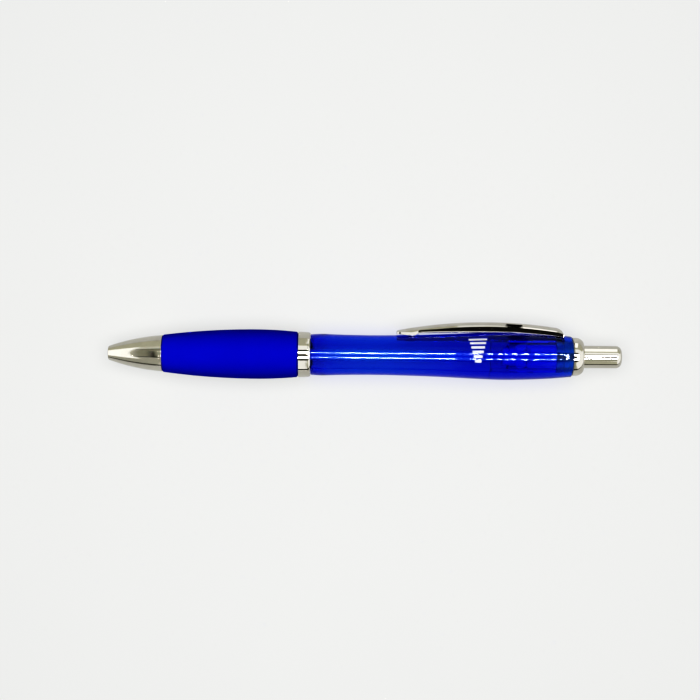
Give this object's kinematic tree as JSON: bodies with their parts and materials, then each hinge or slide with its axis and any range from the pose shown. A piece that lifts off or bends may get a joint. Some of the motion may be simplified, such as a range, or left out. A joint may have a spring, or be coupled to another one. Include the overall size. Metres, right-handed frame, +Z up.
{
  "type": "retractable ballpoint pen",
  "caption": "Retractable ballpoint pen: clear hourglass barrel, soft grip, chromed nose, centre ring, sprung clip and push button, with its click mechanism and refill.",
  "frame": {"origin": "bottom centre of the bounding box, on the surface the pen lies on, midway between the nose face and the button's end", "axes": "+X along the pen from the point to the push button, +Y across the pen towards the clip, +Z up from the surface the pen lies on"},
  "size_m": [0.14, 0.016, 0.0135],
  "materials": {
    "chrome_trim": "bright satin chrome plating",
    "chrome_sheet": "chrome-plated pressed steel sheet",
    "clear_blue": "glossy translucent blue plastic",
    "grip_rubber": "matte soft-touch elastomer",
    "white_plastic": "moulded acetal",
    "natural_plastic": "milky translucent plastic",
    "blue_ink": "blue paste ink, modelled as a solid",
    "grease": "follower grease, modelled as a solid",
    "point_brass": "machined brass",
    "ball_carbide": "polished tungsten carbide",
    "spring_steel": "drawn stainless wire"
  },
  "bodies": {
    "rear_section": {"rear_barrel": "clear_blue", "cam_sleeve": "clear_blue", "end_cap": "chrome_trim"},
    "clip": {"clip": "chrome_sheet"},
    "button": {"push_button": "chrome_trim", "thrust_cam": "white_plastic"},
    "rotor": {"rotor": "white_plastic"},
    "refill": {"refill_tube": "natural_plastic", "ink_column": "blue_ink", "ink_follower": "grease", "point_holder": "natural_plastic", "point_cone": "point_brass"},
    "ball": {"writing_ball": "ball_carbide"},
    "trim_ring": {"centre_ring": "chrome_trim"},
    "front_section": {"front_barrel": "clear_blue", "nose_cone": "chrome_trim", "grip_sleeve": "grip_rubber", "return_spring": "spring_steel"}
  },
  "joints": [
    {"name": "button_press", "type": "slide", "parent": "rear_section", "child": "button", "axis": [-1, 0, 0], "range_m": [0, 0.007]},
    {"name": "refill_advance", "type": "slide", "parent": "rear_section", "child": "refill", "axis": [-1, 0, 0], "range_m": [0, 0.0058], "deforming": ["return_spring"]},
    {"name": "rotor_index", "type": "hinge", "parent": "refill", "child": "rotor", "pos_m": [0.0425, -0.00125, 0.00675], "axis": [1, 0, 0], "range_deg": [0, 22.5]},
    {"name": "ball_roll", "type": "hinge", "parent": "refill", "child": "ball", "pos_m": [-0.0673, -0.00125, 0.00675], "axis": [0, 1, 0], "continuous": true},
    {"name": "clip_flex", "type": "hinge", "parent": "rear_section", "child": "clip", "pos_m": [0.0529, 0.00425, 0.00675], "axis": [0, 0, -1], "range_deg": [0, 3]},
    {"name": "ring_slide", "type": "slide", "parent": "rear_section", "child": "trim_ring", "axis": [-1, 0, 0], "range_m": [0, 0.0072]},
    {"name": "front_unscrew", "type": "hinge", "parent": "trim_ring", "child": "front_section", "pos_m": [-0.035, -0.00125, 0.00675], "axis": [-1, 0, 0], "range_deg": [0, 1620]}
  ],
  "couplings": [
    {"joint": "refill_advance", "follows": "button_press", "ratio": 0.82857},
    {"joint": "rotor_index", "follows": "button_press", "rad_per_m": 56.1},
    {"joint": "ring_slide", "follows": "front_unscrew", "m_per_rad": 0.00025464}
  ]
}
